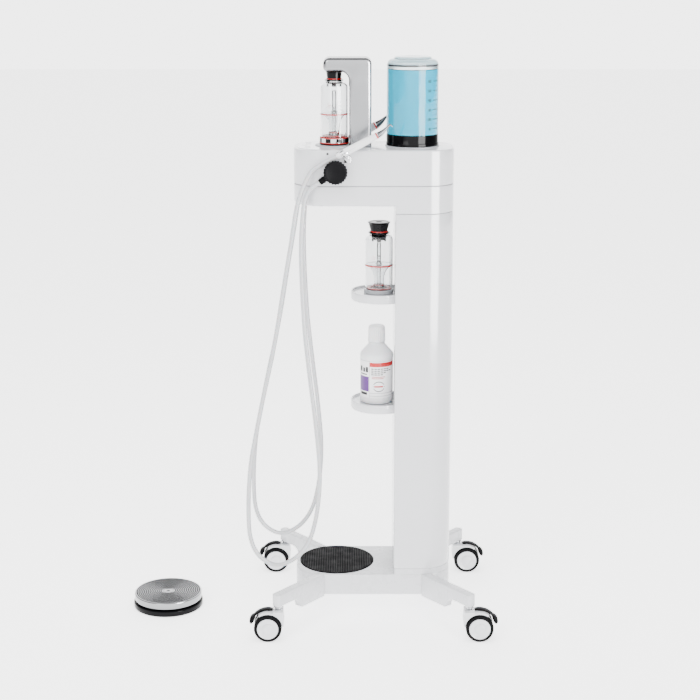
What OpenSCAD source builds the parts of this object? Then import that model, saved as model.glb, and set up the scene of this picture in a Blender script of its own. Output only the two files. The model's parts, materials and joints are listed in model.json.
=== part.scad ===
// Mobile treatment pump unit. A C-shaped cart stands on four legs with braked twin-wheel
// casters. Its head holds a pump, a powder chamber under an arch, an inverted water bottle
// and two handpieces on long hoses. A wireless foot pedal lies on the floor beside it.
// X runs along the cart with the column at the +X end, Y runs from front to rear, Z is up.
// The origin is on the floor, at the middle of the cart and its pedal taken together.

/* [Cart body] */
// Length of the base and of the head, end to end
body_l = 286; // [280:1:292]
// Depth of the cart body, front face to rear face
body_d = 144; // [140:1:148]
// Corner radius of the body outline
body_r = 52; // [48:1:56]
// Underside of the base above the floor
base_z = 44; // [43:1:46]
// Height of the base casting
base_h = 41; // [38:1:43]
// Flat left face of the column, from the middle of the cart
column_x = 38; // [34:1:42]
// Top of the column above the floor
column_top = 758.5; // [750:0.5:760]

/* [Head] */
// Underside of the head above the floor
head_z = 772; // [770:0.5:776]
// Height of the lower band of the head
tray_h = 36; // [34:1:38]
// Top of the deck above the floor
deck_z = 872; // [870:1:876]
// Wall thickness of the shells
wall = 3; // [2.5:0.5:4]

/* [Legs and casters] */
// Caster stem position along the cart, from its middle
stem_x = 172; // [168:1:176]
// Caster stem position across the cart, from its middle
stem_y = 164; // [160:1:168]
// Width of a leg
leg_w = 17; // [15:1:18]
// Wheel diameter
wheel_d = 50; // [48:1:50]
// Overall width of a twin wheel
wheel_w = 40; // [36:1:42]
// Distance of the wheel axle behind the stem
trail = 18; // [16:1:18]

/* [Bottle and chambers] */
// Diameter of the water bottle
bottle_d = 92; // [88:1:94]
// Top of the water bottle above the floor
bottle_top = 1031; // [1028:1:1040]
// Diameter of the powder chamber glass
chamber_d = 49; // [46:1:50]
// Diameter of the spare chamber glass
spare_d = 51; // [48:1:52]
// Diameter of the flask on the lower shelf
flask_d = 61; // [56:1:64]

/* [Handpieces] */
// Rise of the handpieces towards the column, in degrees
tilt = 28; // [26:1:30]
// Diameter of the two hoses
hose_d = 8; // [7:0.5:8]
// Distance of the hoses and handpieces from the cart's middle plane
hose_y = 82; // [82:1:84]

/* [Foot pedal] */
// Diameter of the pedal base
pedal_d = 130; // [126:1:134]
// Height of the pedal above the floor
pedal_h = 27; // [26:1:30]

/* [Hidden] */
$fn = 64;
cart_x = 114;                       // middle of the cart from the origin
gap = 0.05;                         // radial running fit of pins and shafts
plinth_top = 96;                    // seam between the plinth and the column shell
base_top = base_z + base_h;
mat_x = -67.5;                      // middle of the rubber mat
mat_r = 69.5;
rib_pitch = 4.5;
shelf_x = 13;                       // middle of the round shelves
shelf_r = 54;
shelf_h = 16.5;
shelf_floor = 12;
spare_x = 10;                       // middle of the spare chamber
flask_x = 6.5;                      // middle of the flask
upper_z = 591;
lower_z = 386;
tray_top = head_z + tray_h;
lid_t = 3;                          // thickness of the deck plate
seam = 1.5;                         // height of the grooves under the head and its housing
tower_x = [-90, -44, -4.4];         // nose tip, inner face and outer face of the arch
tower_y = 28;                       // half width of the arch
tower_top = 1030;
nose_z = 1006;                      // underside of the nose
liner_r = 8;                        // corner piece under the nose
chamber_x = -71;
bottle_x = 69;
knob_x = -68;
knob_z = 836;
knob_r = 18.6;
knob_lobes = 24;
knob_h = 11;
knob_gap = 7.3;                     // from the hose plane to the back of the knob
spigot_r = 6;
elbow_tilt = 34;
elbow_l = 33.8;
hp_x = -64;                         // rear end of a handpiece
hp_z = 863;
hp_l = 82;
hp_front = [6.75, 5.35];            // radii of the front grip, at its back and its front
hp_rear = [7.75, 7.2];              // radii of the rear grip
axle_z = wheel_d / 2;
tyre_t = 4;
pedal_x = -387;
pedal_y = -10;

// Route of the front hose in its own vertical plane, from the elbow down around the loop
// and up to the handpiece: [along the cart, height].
hose_route = [
    [-96, 817], [-108, 809], [-116, 799], [-122, 784], [-125, 764], [-128, 728], [-129, 690],
    [-128, 640], [-126, 594], [-123, 544], [-118, 494], [-112, 440], [-106, 390], [-101, 340],
    [-98, 300], [-98, 262], [-101, 224], [-107, 188], [-116, 158], [-130, 134], [-150, 116],
    [-175, 107], [-198, 115], [-215, 133], [-225, 160], [-228, 196], [-227, 250], [-222, 306],
    [-211, 366], [-198, 430], [-184, 494], [-172, 556], [-160, 630], [-147, 706], [-137, 768],
    [-128, 800], [-119, 821], [-108, 838], [-90, 850], [-64.3, 862.8]
];

// ---- shared shapes ----

module at_cart(x = 0, y = 0, z = 0) { translate([cart_x + x, y, z]) children(); }

module rear_copy() { mirror([0, 1, 0]) children(); }

module outline(inset = 0) {
    l = body_l - 2 * inset;
    d = body_d - 2 * inset;
    r = body_r - inset;
    square([l - 2 * r, d], center = true);
    square([l, d - 2 * r], center = true);
    for (sx = [-1, 1], sy = [-1, 1])
        translate([sx * (l / 2 - r), sy * (d / 2 - r)]) circle(r = r);
}

module column_outline(inset = 0) {
    intersection() {
        outline(inset);
        translate([column_x + inset, -body_d / 2]) square([body_l / 2, body_d]);
    }
}

module slab(z0, z1) { translate([0, 0, z0]) linear_extrude(z1 - z0) children(); }

module box(x, y, z) {
    translate([x[0], y[0], z[0]]) cube([x[1] - x[0], y[1] - y[0], z[1] - z[0]]);
}

// A turned part: outer radius r0 at the bottom to r1 at the top
module turned(z0, z1, r0, r1) { translate([0, 0, z0]) cylinder(h = z1 - z0, r1 = r0, r2 = r1); }

// A round jar wall with a rounded shoulder: half section, then turned
module jar(r, z0, z1, shoulder, t) {
    rotate_extrude() difference() {
        jar_section(r, z0, z1, shoulder);
        translate([0, -t]) jar_section(r - t, z0, z1, shoulder - t / 2);
        translate([0, z0 - t - 1]) square([r - t, t + 2]);
    }
}

module jar_section(r, z0, z1, shoulder) {
    translate([0, z0]) square([r, z1 - shoulder - z0]);
    translate([0, z0]) square([r - shoulder, z1 - z0]);
    intersection() {
        translate([r - shoulder, z1 - shoulder]) circle(r = shoulder);
        translate([0, z1 - shoulder]) square([r, shoulder]);
    }
}

// A tube swept along a route that lies in one vertical plane
function unit_vec(v) = v / norm(v);
function route_dir(p, i) =
    unit_vec(p[min(i + 1, len(p) - 1)] - p[max(i - 1, 0)]);
function ring_points(p, i, y, r, sides) = [
    for (k = [0 : sides - 1])
        let (t = route_dir(p, i), a = 360 * k / sides)
        [p[i][0] - t[1] * r * cos(a), y + r * sin(a), p[i][1] + t[0] * r * cos(a)]
];

module swept_hose(p, y, r, sides) {
    n = len(p);
    points = [for (i = [0 : n - 1]) each ring_points(p, i, y, r, sides)];
    skin = [
        for (i = [0 : n - 2], k = [0 : sides - 1])
            let (a = i * sides + k, b = i * sides + (k + 1) % sides)
            [a, b, b + sides, a + sides]
    ];
    start = [for (k = [0 : sides - 1]) sides - 1 - k];
    end = [for (k = [0 : sides - 1]) (n - 1) * sides + k];
    polyhedron(points = points, faces = concat(skin, [start], [end]), convexity = 6);
}

// ---- cart ----

module base_casting() {
    color("white") at_cart() difference() {
        union() {
            slab(base_z, base_top) outline();
            slab(base_top, plinth_top) column_outline(1);
        }
        slab(base_z - 1, base_top - 8) outline(9);
    }
}

module base_ballast() {
    color("dimgray") at_cart() slab(base_z + 4, base_top - 8) outline(10);
}

module base_mat() {
    color("#2e2e33") at_cart(mat_x) {
        slab(base_top, base_top + 1.2) circle(r = mat_r);
        intersection() {
            slab(base_top + 1.2, base_top + 2.2) circle(r = mat_r - 1);
            for (i = [-15 : 15])
                translate([(i - 0.3) * rib_pitch, -mat_r, base_top + 1])
                    cube([rib_pitch * 0.6, 2 * mat_r, 1.2]);
        }
    }
}

module leg() {
    reach = norm([stem_x - 99, stem_y - 72]) + 20;
    turn = atan2(stem_y - 72, stem_x - 99);
    step = 20;
    difference() {
        at_cart(stem_x, stem_y) rotate([0, 0, turn + 180]) difference() {
            slab(base_z - 1.5, base_top) {
                circle(d = leg_w);
                translate([0, -leg_w / 2]) square([reach, leg_w]);
            }
            rotate([90, 0, 0]) translate([0, 0, -leg_w]) linear_extrude(2 * leg_w) {
                translate([-leg_w, base_z - 10]) square([leg_w + 37, 29]);
                translate([37, base_z - 1]) circle(r = step);
            }
            translate([0, 0, base_z]) cylinder(h = base_h - 2, r = 5 + gap);
        }
        at_cart() slab(base_z - 5, base_top + 5) outline(-0.1);
    }
}

module legs() {
    color("white") {
        leg();
        mirror([0, 1, 0]) leg();
        translate([2 * cart_x, 0, 0]) mirror([1, 0, 0]) {
            leg();
            mirror([0, 1, 0]) leg();
        }
    }
}

module column_shell() {
    color("white") at_cart() difference() {
        slab(plinth_top, column_top) column_outline();
        slab(plinth_top - 1, column_top + 1) column_outline(wall);
    }
}

module column_post() {
    post_x = 92;
    post_w = 50;
    color("silver") at_cart(post_x) {
        difference() {
            slab(plinth_top + 6, column_top - 6) square(post_w, center = true);
            slab(plinth_top, column_top) square(post_w - 8, center = true);
        }
        for (z = [plinth_top, column_top - 6]) slab(z, z + 6) difference() {
            square(post_w + 26, center = true);
            for (sx = [-1, 1], sy = [-1, 1])
                translate([sx * 32, sy * 32]) circle(d = 7);
        }
    }
}

module shelf(z) {
    at_cart(shelf_x, 0, z) difference() {
        intersection() {
            cylinder(h = shelf_h, r = shelf_r);
            box([-shelf_r, column_x - shelf_x], [-shelf_r, shelf_r], [0, shelf_h]);
        }
        intersection() {
            translate([0, 0, shelf_floor]) cylinder(h = shelf_h, r = shelf_r - wall);
            box([-shelf_r, column_x - shelf_x + 1], [-shelf_r, shelf_r], [0, shelf_h + 5]);
        }
    }
}

module shelves() {
    color("white") for (z = [upper_z, lower_z]) shelf(z);
}

// ---- head ----

module head_tray() {
    color("white") at_cart() difference() {
        union() {
            slab(head_z, tray_top) outline();
            slab(column_top, column_top + seam) column_outline(2);
            slab(column_top + seam, head_z) column_outline();
        }
        slab(head_z + wall, tray_top + 1) outline(wall);
    }
}

module unit_housing() {
    color("white") at_cart() difference() {
        union() {
            slab(tray_top, tray_top + seam) outline(seam);
            slab(tray_top + seam, deck_z - lid_t) outline();
        }
        slab(tray_top + wall, deck_z) outline(wall + seam);
    }
}

module unit_deck() {
    color("white") at_cart() slab(deck_z - lid_t, deck_z) outline();
}

module touch_panel() {
    color("gainsboro") at_cart() slab(deck_z, deck_z + 1) intersection() {
        outline(5);
        translate([-body_l / 2, -body_d / 2]) square([47, body_d]);
        difference() {
            square([2 * body_l, body_d], center = true);
            translate([chamber_x, 0]) circle(r = 35);
        }
    }
}

module arch_section(inset) {
    r = 11 - inset;
    x0 = tower_x[0] + inset;
    x1 = tower_x[1] + inset;
    x2 = tower_x[2] - inset;
    top = tower_top - inset;
    translate([x1, deck_z]) square([x2 - x1, top - r - deck_z]);
    translate([x0, nose_z + inset]) square([x2 - x0, top - r - nose_z - inset]);
    translate([x0 + r, nose_z + inset]) square([x2 - x0 - 2 * r, top - nose_z - inset]);
    for (x = [x0 + r, x2 - r]) translate([x, top - r]) circle(r = r);
}

module powder_tower() {
    skin = 4;
    color("silver") at_cart() difference() {
        rotate([90, 0, 0]) translate([0, 0, -tower_y])
            linear_extrude(2 * tower_y) arch_section(0);
        rotate([90, 0, 0]) translate([0, 0, skin - tower_y])
            linear_extrude(2 * (tower_y - skin)) arch_section(skin);
    }
}

module tower_liner() {
    x = tower_x[1] - liner_r;
    z = nose_z - liner_r;
    color("#2b2b2e") at_cart() rotate([90, 0, 0]) translate([0, 0, -19]) linear_extrude(38)
        difference() {
            translate([x, z]) square(liner_r);
            translate([x - 0.5, z - 0.5]) circle(r = liner_r);
        }
}

module chamber_platform() {
    color("gray") difference() {
        at_cart(chamber_x) turned(deck_z, deck_z + 3, 34.5, 33.5);
        at_cart() box([tower_x[1] - 0.1, 0], [-40, 40], [deck_z - 1, deck_z + 4]);
    }
}

module bottle_socket() {
    color("gray") at_cart(bottle_x) {
        turned(deck_z, deck_z + 2, 48.5, 48.5);
        turned(deck_z + 2, deck_z + 12, spigot_r, spigot_r);
    }
}

// ---- inside the head ----

module pump_unit() {
    color("dimgray") at_cart(40, 0, 838) rotate([0, 90, 0]) {
        difference() {
            cylinder(h = 18, r = 24);
            translate([0, 0, -1]) cylinder(h = 15, r = 17);
            cylinder(h = 20, r = 3 + gap);
        }
        translate([0, 0, 18]) difference() {
            cylinder(h = 56, r = 18);
            translate([0, 0, -1]) cylinder(h = 12, r = 3 + gap);
        }
        translate([23.5, -14, 4]) cube([3, 28, 60]);
    }
}

module pump_rotor() {
    color("gold") at_cart(40, 0, 838) rotate([0, 90, 0]) {
        difference() {
            union() {
                translate([0, 0, 2]) cylinder(h = 8, r = 7);
                translate([0, 0, 8]) cylinder(h = 19, r = 3);
                for (a = [0 : 120 : 240]) rotate([0, 0, a])
                    translate([0, -4, 2]) cube([13, 8, 8]);
            }
            for (a = [0 : 120 : 240]) rotate([0, 0, a])
                translate([11, 0, 1]) cylinder(h = 10, r = 1.6);
        }
        for (a = [0 : 120 : 240]) rotate([0, 0, a])
            translate([11, 0, 1]) cylinder(h = 10, r = 1.5);
    }
}

module generator_board() {
    board_z = tray_top + wall + 5;
    color("seagreen") at_cart() {
        box([-110, 20], [-58, -2], [board_z, board_z + 1.6]);
        for (x = [-104, 14], y = [-52, -8])
            translate([x, y, tray_top + wall]) cylinder(h = 5, r = 3);
        box([-98, -62], [-50, -20], [board_z + 1.6, board_z + 24]);
        box([-20, 8], [-48, -12], [board_z + 1.6, board_z + 18]);
        for (x = [-46, -32], y = [-44, -22])
            translate([x, y, board_z + 1.6]) cylinder(h = 16, r = 5);
    }
}

module air_valves() {
    valve_z = tray_top + wall;
    color("slategray") at_cart() {
        box([-100, 0], [12, 40], [valve_z, valve_z + 14]);
        for (x = [-85, -50, -15])
            translate([x, 26, valve_z + 14]) cylinder(h = 16, r = 8);
    }
}

module supply_inlets() {
    plate_z = 130;
    color("#303034") at_cart(64, body_d / 2, plate_z) difference() {
        union() {
            box([-24, 24], [0, 2], [-22, 22]);
            box([-21, 7], [2, 16], [-14, 14]);
            for (z = [-10, 10]) translate([16, 2, z]) rotate([-90, 0, 0])
                cylinder(h = 14, r = 5);
        }
        box([-18, 4], [4, 20], [-10, 10]);
    }
}

// ---- hoses and handpieces ----

module cradle(grip_r) {
    bore = grip_r + 0.4;
    at_cart() box([-56, -38], [-74.2, -body_d / 2], [849, 866]);
    at_handpiece() translate([0, 0, 9]) difference() {
        union() {
            cylinder(h = 10, r = bore + 2);
            translate([2, 0, 0]) cube([bore + 8, hose_y - body_d / 2, 10]);
        }
        translate([0, 0, -1]) cylinder(h = 14, r = bore);
        translate([-20, -bore, -1]) cube([20, 2 * bore, 14]);
    }
}

module handpiece_cradles() {
    color("silver") {
        cradle(hp_front[0]);
        rear_copy() cradle(hp_rear[0]);
    }
}

module elbow() {
    face = body_d / 2;
    at_cart(knob_x, 0, knob_z) {
        translate([0, -face, 0]) rotate([90, 0, 0]) {
            cylinder(h = 1, r = 15);
            cylinder(h = hose_y - face + knob_gap + 7, r = spigot_r);
        }
        translate([0, -hose_y, 0]) rotate([0, -90 - elbow_tilt, 0])
            cylinder(h = elbow_l - 0.2, r = spigot_r + 0.2);
    }
}

module hose_elbows() {
    color("#2b2b2e") {
        elbow();
        rear_copy() elbow();
    }
}

module hose() {
    at_cart() swept_hose(hose_route, -hose_y, hose_d / 2, 10);
}

module hose_front() { color("whitesmoke") hose(); }

module hose_rear() { color("whitesmoke") rear_copy() hose(); }

module knob() {
    at_cart(knob_x, -hose_y - knob_gap, knob_z) rotate([90, 0, 0]) difference() {
        linear_extrude(knob_h) {
            circle(r = knob_r);
            for (i = [1 : knob_lobes]) rotate(i * 360 / knob_lobes)
                translate([knob_r - 0.2, 0]) circle(r = 2.9, $fn = 24);
        }
        translate([0, 0, -1]) cylinder(h = 9, r = spigot_r + gap);
    }
}

module knob_front() { color("#2b2b2e") knob(); }

module knob_rear() { color("#2b2b2e") rear_copy() knob(); }

module at_handpiece() {
    at_cart(hp_x, -hose_y, hp_z) rotate([0, 90 - tilt, 0]) children();
}

module grip(r) {
    at_handpiece() rotate_extrude() polygon([
        [0, 0], [5.4, 0], [6, 1], [6, 5], [r[0], 7], [r[0], 34], [r[1], 76],
        [r[1] + 0.4, 76.5], [r[1] + 0.4, 79], [r[1] - 0.2, 79.5], [r[1] - 0.2, hp_l], [0, hp_l]
    ]);
}

module tip(r) {
    lean = 15;                      // the tip bends up from the grip's axis
    at_handpiece() {
        turned(hp_l + 0.05, hp_l + 8, r, 3.6);
        translate([0, 0, hp_l + 8]) {
            sphere(r = 3.6);
            rotate([0, -lean, 0]) {
                cylinder(h = 15, r1 = 3.6, r2 = 1.8);
                translate([0, 0, 15]) {
                    sphere(r = 1.8);
                    rotate([0, 67, 0]) cylinder(h = 8, r = 1.1);
                }
            }
        }
    }
}

module handpiece_front() { color("whitesmoke") grip(hp_front); }

module handpiece_front_tip() { color("silver") tip(hp_front[1] - 0.5); }

module handpiece_rear() { color("gainsboro") rear_copy() grip(hp_rear); }

module handpiece_rear_tip() { color("silver") rear_copy() tip(hp_rear[1] - 0.5); }

// ---- bottle, chambers and flask ----

module water_bottle() {
    color("lightcyan", 0.4) at_cart(bottle_x)
        jar(bottle_d / 2, deck_z + 22.1, bottle_top, 12, 1.8);
}

module water() {
    color("skyblue", 0.7) at_cart(bottle_x)
        turned(deck_z + 22.2, deck_z + 137, bottle_d / 2 - 2, bottle_d / 2 - 2);
}

module bottle_collar() {
    color("#2b2b2e") at_cart(bottle_x) difference() {
        union() {
            turned(deck_z + 2.1, deck_z + 8, bottle_d / 2 + 1.5, bottle_d / 2 + 0.6);
            turned(deck_z + 8, deck_z + 22, bottle_d / 2 + 0.6, bottle_d / 2 + 0.6);
        }
        turned(deck_z, deck_z + 13, spigot_r + gap, spigot_r + gap);
    }
}

module chamber_glass() {
    color("white", 0.4) at_cart(chamber_x) difference() {
        union() {
            turned(889.1, 980, chamber_d / 2, chamber_d / 2);
            turned(980, 987, chamber_d / 2, 16.5);
            turned(987, 996, 12, 12);
        }
        turned(889, 979, chamber_d / 2 - 2, chamber_d / 2 - 2);
        turned(978.9, 985, chamber_d / 2 - 2, 10);
        turned(984.9, 997, 10, 10);
    }
}

module chamber_funnel() {
    color("whitesmoke", 0.7) at_cart(chamber_x) rotate_extrude() polygon([
        [1.9, 889.1], [4.5, 889.1], [4.5, 895], [22, 925], [22, 927.5], [5, 900], [3.8, 902],
        [3.8, 972], [1.9, 972]
    ]);
}

module chamber_collar() {
    color("#2b2b2e") at_cart(chamber_x) {
        turned(deck_z + 3.1, deck_z + 6, 23, 25.5);
        turned(deck_z + 6, deck_z + 14, 26.5, 26.5);
        turned(deck_z + 14, deck_z + 17, 25.6, 25.6);
    }
}

module chamber_cap() {
    color("#2b2b2e") at_cart(chamber_x) difference() {
        union() {
            turned(988.2, 991, 17, 17);
            turned(991, 1005.4, 13.4, 15);
        }
        turned(988, 1001, 12 + gap, 12 + gap);
    }
}

module spare_glass() {
    z0 = upper_z + shelf_floor;
    color("white", 0.4) at_cart(spare_x) {
        difference() {
            turned(z0 + 0.1, z0 + 8, 26, 27);
            turned(z0 + 4, z0 + 9, 20, 20);
        }
        translate([0, 0, z0 + 8]) difference() {
            union() {
                cylinder(h = 89, r = spare_d / 2);
                translate([0, 0, 89]) cylinder(h = 6, r1 = spare_d / 2, r2 = 19);
                translate([0, 0, 95]) cylinder(h = 10, r = 13);
            }
            translate([0, 0, -1]) cylinder(h = 89, r = spare_d / 2 - 2);
            translate([0, 0, 87.9]) cylinder(h = 5, r1 = spare_d / 2 - 2, r2 = 11);
            translate([0, 0, 92.8]) cylinder(h = 14, r = 11);
        }
    }
}

module spare_funnel() {
    z0 = upper_z + shelf_floor;
    color("whitesmoke", 0.7) at_cart(spare_x, 0, z0) rotate_extrude() polygon([
        [1.9, 4.1], [4.5, 4.1], [4.5, 12], [23, 42], [23, 44.5], [5, 17], [3.8, 19],
        [3.8, 84], [1.9, 84]
    ]);
}

module spare_cap() {
    z0 = upper_z + shelf_floor + 103.2;
    color("#2b2b2e") at_cart(spare_x, 0, z0) difference() {
        union() {
            cylinder(h = 12, r = 14.5);
            translate([0, 0, 12]) cylinder(h = 16, r1 = 17.5, r2 = 20.5);
        }
        translate([0, 0, -1]) cylinder(h = 16, r = 13 + gap);
    }
}

module flask() {
    z0 = lower_z + shelf_floor + 0.1;
    color("white") at_cart(flask_x) {
        turned(z0, z0 + 2, flask_d / 2 - 2, flask_d / 2);
        turned(z0 + 2, z0 + 93, flask_d / 2, flask_d / 2);
        turned(z0 + 93, z0 + 103, flask_d / 2, flask_d / 2 - 8);
        turned(z0 + 103, z0 + 112, flask_d / 2 - 8, 14.5);
        turned(z0 + 112, z0 + 132, 12, 12);
    }
}

module flask_cap() {
    z0 = lower_z + shelf_floor + 114;
    color("white") at_cart(flask_x, 0, z0) difference() {
        cylinder(h = 30, r = 16);
        translate([0, 0, -1]) cylinder(h = 21, r = 12 + gap);
    }
}

// ---- foot pedal ----

module pedal_base() {
    color("#2b2b2e") at_cart(pedal_x, pedal_y) {
        turned(0, 2, pedal_d / 2 - 2, pedal_d / 2);
        turned(2, 9.4, pedal_d / 2, pedal_d / 2);
        turned(9.4, 11.2, pedal_d / 2, pedal_d / 2 - 1.8);
        turned(11.2, pedal_h - 7, pedal_d / 2 - 10, pedal_d / 2 - 10);
    }
}

module pedal_plate() {
    groove_pitch = 3.6;
    color("silver") at_cart(pedal_x, pedal_y) difference() {
        union() {
            turned(14.5, pedal_h - 2, pedal_d / 2 - 2, pedal_d / 2 - 2);
            turned(pedal_h - 2, pedal_h, pedal_d / 2 - 2, pedal_d / 2 - 4);
        }
        turned(14, pedal_h - 3, pedal_d / 2 - 9.2, pedal_d / 2 - 9.2);
        for (i = [0 : 12]) translate([0, 0, pedal_h]) rotate_extrude()
            translate([12 + i * groove_pitch, 0]) circle(d = 1.4, $fn = 16);
    }
}

// ---- casters: drawn with the stem on Z and the wheels trailing towards +X ----

module hood_wedge(a0, a1, r) {
    steps = 6;
    polygon(concat([[0, 0]], [
        for (i = [0 : steps])
            let (a = a0 + (a1 - a0) * i / steps) [r * cos(a), r * sin(a)]
    ]));
}

// A curved plate around the axle, from angle a0 to a1 above the trailing horizontal
module around_axle(r0, r1, half_w, a0, a1) {
    translate([trail, half_w, axle_z]) rotate([90, 0, 0]) linear_extrude(2 * half_w)
        intersection() {
            difference() {
                circle(r = r1);
                circle(r = r0);
            }
            hood_wedge(a0, a1, r1 * 1.4);
        }
}

module fork() {
    hood_r = wheel_d / 2 + 4.3;
    web = 3.5;
    translate([0, 0, 48]) cylinder(h = base_top - 3 - 48, r = 5);
    translate([0, 0, 49]) cylinder(h = 6, r = 9);
    around_axle(hood_r - 3, hood_r, wheel_w / 2, 62, 174);
    difference() {
        around_axle(0.1, hood_r - 1, web, -30, 205);
        translate([trail, 5, axle_z]) rotate([90, 0, 0]) cylinder(h = 10, r = 2.5);
    }
    translate([trail, wheel_w / 2 - 2.5, axle_z]) rotate([90, 0, 0])
        cylinder(h = wheel_w - 5, r = 3);
}

module pair_y() {
    children();
    mirror([0, 1, 0]) children();
}

module wheels() {
    pair_y() translate([trail, wheel_w / 2, axle_z]) rotate([90, 0, 0]) difference() {
        union() {
            cylinder(h = 1, r1 = axle_z - tyre_t - 1, r2 = axle_z - tyre_t);
            translate([0, 0, 1]) cylinder(h = wheel_w / 2 - 5, r = axle_z - tyre_t);
        }
        translate([0, 0, 2]) cylinder(h = wheel_w, r = 3 + gap);
    }
}

module tyres() {
    pair_y() translate([trail, wheel_w / 2 - 1, axle_z]) rotate([90, 0, 0]) difference() {
        cylinder(h = wheel_w / 2 - 5, r = axle_z);
        translate([0, 0, -1]) cylinder(h = wheel_w, r = axle_z - tyre_t + 0.03);
    }
}

module brake() {
    rim = wheel_d / 2 + 5;
    around_axle(rim, rim + 3, 8, 12, 78);
    around_axle(rim - 1.4, rim + 4, 9, 5, 32);
}

module place_caster(sx, sy) {
    at_cart(sx * stem_x, sy * stem_y) rotate([0, 0, sx < 0 ? 180 : 0]) children();
}

module caster_fork(sx, sy) { color("white") place_caster(sx, sy) fork(); }

module caster_wheels(sx, sy) { color("white") place_caster(sx, sy) wheels(); }

module caster_tyres(sx, sy) { color("#2b2b2e") place_caster(sx, sy) tyres(); }

module caster_brake(sx, sy) { color("#2b2b2e") place_caster(sx, sy) brake(); }

// ---- one line per node ----

base_casting();
base_ballast();
base_mat();
legs();
column_shell();
column_post();
head_tray();
unit_housing();
unit_deck();
touch_panel();
powder_tower();
tower_liner();
chamber_platform();
bottle_socket();
shelves();
handpiece_cradles();
hose_elbows();
hose_front();
hose_rear();
pump_unit();
pump_rotor();
generator_board();
air_valves();
supply_inlets();
knob_front();
knob_rear();
handpiece_front();
handpiece_front_tip();
handpiece_rear();
handpiece_rear_tip();
water_bottle();
water();
bottle_collar();
chamber_glass();
chamber_funnel();
chamber_collar();
chamber_cap();
spare_glass();
spare_funnel();
spare_cap();
flask();
flask_cap();
pedal_base();
pedal_plate();
caster_fork(-1, -1);  // caster_fl_fork
caster_wheels(-1, -1);  // caster_fl_wheels
caster_tyres(-1, -1);  // caster_fl_tyres
caster_brake(-1, -1);  // caster_fl_brake
caster_fork(1, -1);  // caster_fr_fork
caster_wheels(1, -1);  // caster_fr_wheels
caster_tyres(1, -1);  // caster_fr_tyres
caster_brake(1, -1);  // caster_fr_brake
caster_fork(-1, 1);  // caster_rl_fork
caster_wheels(-1, 1);  // caster_rl_wheels
caster_tyres(-1, 1);  // caster_rl_tyres
caster_brake(-1, 1);  // caster_rl_brake
caster_fork(1, 1);  // caster_rr_fork
caster_wheels(1, 1);  // caster_rr_wheels
caster_tyres(1, 1);  // caster_rr_tyres
caster_brake(1, 1);  // caster_rr_brake
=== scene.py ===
import json
import math

import bmesh
import bpy
from mathutils import Matrix, Vector


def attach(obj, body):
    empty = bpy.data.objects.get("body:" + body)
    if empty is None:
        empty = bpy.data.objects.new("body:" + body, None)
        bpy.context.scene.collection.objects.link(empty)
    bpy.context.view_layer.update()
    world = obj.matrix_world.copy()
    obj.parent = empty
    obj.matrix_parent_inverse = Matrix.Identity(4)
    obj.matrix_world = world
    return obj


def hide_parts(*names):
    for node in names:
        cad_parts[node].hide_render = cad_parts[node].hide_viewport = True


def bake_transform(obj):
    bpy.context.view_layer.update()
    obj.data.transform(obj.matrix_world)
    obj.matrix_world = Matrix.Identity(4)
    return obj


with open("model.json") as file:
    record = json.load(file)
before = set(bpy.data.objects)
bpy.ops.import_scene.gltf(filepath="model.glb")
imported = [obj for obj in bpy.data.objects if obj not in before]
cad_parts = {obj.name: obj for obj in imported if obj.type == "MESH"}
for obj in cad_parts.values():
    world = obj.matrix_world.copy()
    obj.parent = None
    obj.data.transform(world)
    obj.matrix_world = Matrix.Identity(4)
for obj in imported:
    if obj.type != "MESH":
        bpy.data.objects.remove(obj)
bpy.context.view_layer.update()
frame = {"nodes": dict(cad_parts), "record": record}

# All shapes below are drawn in millimetres from the middle of the cart, and placed in the
# row frame, in metres, when their mesh is made.
SCALE = 0.001
CART_X = 114
SIDES = {"front": -1, "rear": 1}
CASTERS = {"fl": (-1, -1), "fr": (1, -1), "rl": (-1, 1), "rr": (1, 1)}


def row(p):
    return Vector(((p[0] + CART_X) * SCALE, p[1] * SCALE, p[2] * SCALE))


# ---------------------------------------------------------------- camera

CAMERA_AT = (0.0714, -2.833, 1.212)
PITCH = math.radians(11.69)
LENS = 81.5
SHIFT_Y = -0.1


def make_camera():
    data = bpy.data.cameras.new("camera")
    data.lens = LENS
    data.sensor_width = 36
    data.shift_y = SHIFT_Y
    data.clip_start, data.clip_end = 0.05, 60
    cam = bpy.data.objects.new("camera", data)
    bpy.context.scene.collection.objects.link(cam)
    cam.location = CAMERA_AT
    cam.rotation_euler = (math.pi / 2 - PITCH, 0, 0)
    bpy.context.scene.camera = cam


make_camera()


# ---------------------------------------------------------------- materials

MATERIALS = {}


def shader(name, color, rough, metal=0.0, **sockets):
    """A Principled material with an object-space texture coordinate ready for detail nodes."""
    mat = bpy.data.materials.new(name)
    MATERIALS[name] = mat
    mat.use_nodes = True
    nodes = mat.node_tree.nodes
    bsdf = nodes["Principled BSDF"]
    bsdf.inputs["Base Color"].default_value = (*color, 1)
    bsdf.inputs["Roughness"].default_value = rough
    bsdf.inputs["Metallic"].default_value = metal
    for key, value in sockets.items():
        bsdf.inputs[key.replace("_", " ")].default_value = value
    coord = nodes.new("ShaderNodeTexCoord")
    mapping = nodes.new("ShaderNodeMapping")
    mat.node_tree.links.new(coord.outputs["Object"], mapping.inputs["Vector"])
    return mat, bsdf, mapping


def add_node(mat, kind, **sockets):
    node = mat.node_tree.nodes.new("ShaderNode" + kind)
    for key, value in sockets.items():
        node.inputs[key.replace("_", " ")].default_value = value
    return node


def noise(mat, mapping, scale, detail=3.0, rough=0.55):
    node = add_node(mat, "TexNoise", Scale=scale, Detail=detail, Roughness=rough)
    mat.node_tree.links.new(mapping.outputs["Vector"], node.inputs["Vector"])
    return node


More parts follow.
